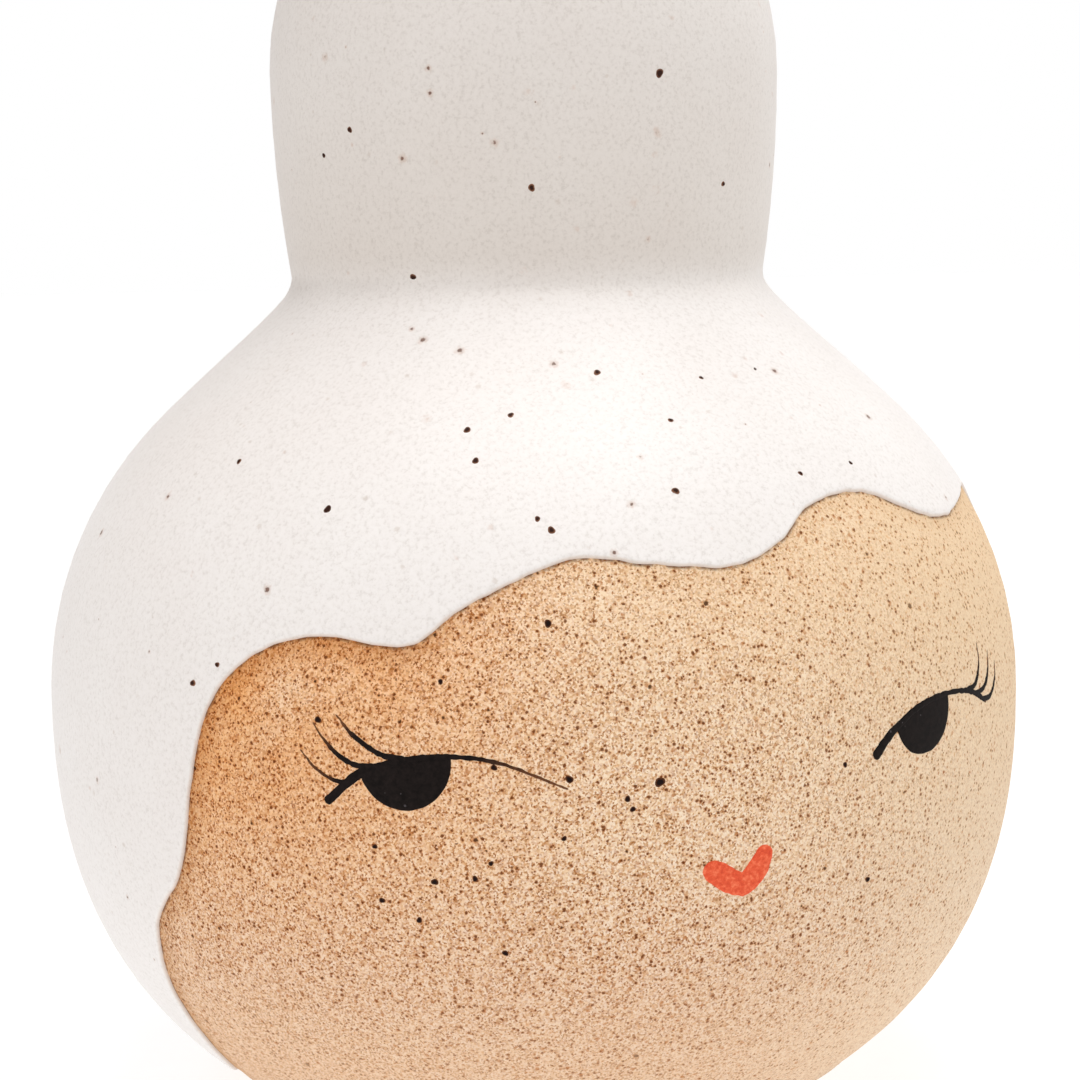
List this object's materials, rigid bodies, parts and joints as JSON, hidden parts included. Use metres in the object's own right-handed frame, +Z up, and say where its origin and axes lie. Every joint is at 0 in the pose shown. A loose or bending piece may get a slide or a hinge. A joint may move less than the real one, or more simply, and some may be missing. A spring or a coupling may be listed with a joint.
{
  "type": "head vase",
  "caption": "Rigid stoneware bud vase shaped as a round head with a topknot, painted half-closed eyes and mouth, and white glaze hair.",
  "frame": {"origin": "centre of the flat base the vase stands on", "axes": "+Z up along the turning axis, the painted face towards -Y"},
  "size_m": [0.1123, 0.112, 0.1395],
  "materials": {
    "bare_stoneware": "matte unglazed sandy stoneware with iron specks",
    "luting_clay": "matte fired clay, hidden under the glaze",
    "white_glaze": "satin white glaze with iron specks melting through",
    "liner_glaze": "glossy off-white liner glaze",
    "black_underglaze": "matte black brushed underglaze",
    "red_underglaze": "matte orange-red brushed underglaze"
  },
  "bodies": {
    "root": {"head_body": "bare_stoneware", "topknot_body": "bare_stoneware", "neck_coil": "luting_clay", "hair_glaze": "white_glaze", "liner_glaze": "liner_glaze", "left_iris": "black_underglaze", "left_lid_line": "black_underglaze", "left_lash_1": "black_underglaze", "left_lash_2": "black_underglaze", "left_lash_3": "black_underglaze", "mouth_left_dab": "red_underglaze", "right_iris": "black_underglaze", "right_lid_line": "black_underglaze", "right_lash_1": "black_underglaze", "right_lash_2": "black_underglaze", "right_lash_3": "black_underglaze", "mouth_right_dab": "red_underglaze"}
  },
  "joints": []
}
